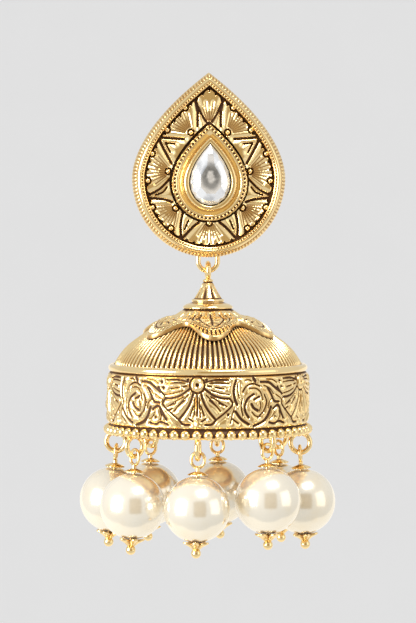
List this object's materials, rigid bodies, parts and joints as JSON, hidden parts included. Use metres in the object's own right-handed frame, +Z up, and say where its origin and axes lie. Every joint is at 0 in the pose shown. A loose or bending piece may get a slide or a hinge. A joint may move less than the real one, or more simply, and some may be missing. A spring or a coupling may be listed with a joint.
{
  "type": "dangle earring",
  "caption": "Bell drop earring: teardrop stud with a set crystal, hanging ring, ribbed bell with a flowered band and pearl drops.",
  "frame": {"origin": "on the plate's flat back, on the ear post's axis, where the earring sits on the ear lobe", "axes": "+Z up along the hanging length, the front faces -Y, the ear post points along +Y"},
  "size_m": [0.0311, 0.0306, 0.0584],
  "materials": {
    "gold": "antique gold plate, polished high points and blackened recesses",
    "pearl": "ivory imitation pearl, glossy",
    "crystal": "clear pear-cut crystal with a silver foil back",
    "post_steel": "polished steel"
  },
  "bodies": {
    "stud": {"stud_plate": "gold", "stone_setting": "gold", "centre_stone": "crystal", "ear_post": "post_steel"},
    "ring_link": {"hanging_ring": "gold"},
    "bell_drop": {"drop_finial": "gold", "flower_cap": "gold", "bell": "gold", "pearl_pin_1": "gold", "pearl_pin_2": "gold", "pearl_pin_3": "gold", "pearl_pin_4": "gold", "pearl_pin_5": "gold", "pearl_pin_6": "gold", "pearl_pin_7": "gold", "pearl_pin_8": "gold", "pearl_disc_1": "gold", "pearl_disc_2": "gold", "pearl_disc_3": "gold", "pearl_disc_4": "gold", "pearl_disc_5": "gold", "pearl_disc_6": "gold", "pearl_disc_7": "gold", "pearl_disc_8": "gold", "pearl_1": "pearl", "pearl_2": "pearl", "pearl_3": "pearl", "pearl_4": "pearl", "pearl_5": "pearl", "pearl_6": "pearl", "pearl_7": "pearl", "pearl_8": "pearl", "pearl_cup_1": "gold", "pearl_cup_2": "gold", "pearl_cup_3": "gold", "pearl_cup_4": "gold", "pearl_cup_5": "gold", "pearl_cup_6": "gold", "pearl_cup_7": "gold", "pearl_cup_8": "gold"}
  },
  "joints": [
    {"name": "ring_side_swing", "type": "hinge", "parent": "stud", "child": "ring_link", "pos_m": [0, 0.00065, -0.0116], "axis": [0, 1, 0], "range_deg": [-40, 40]},
    {"name": "bell_front_swing", "type": "hinge", "parent": "ring_link", "child": "bell_drop", "pos_m": [0, 0.00065, -0.0139], "axis": [1, 0, 0], "range_deg": [-60, 60]}
  ]
}
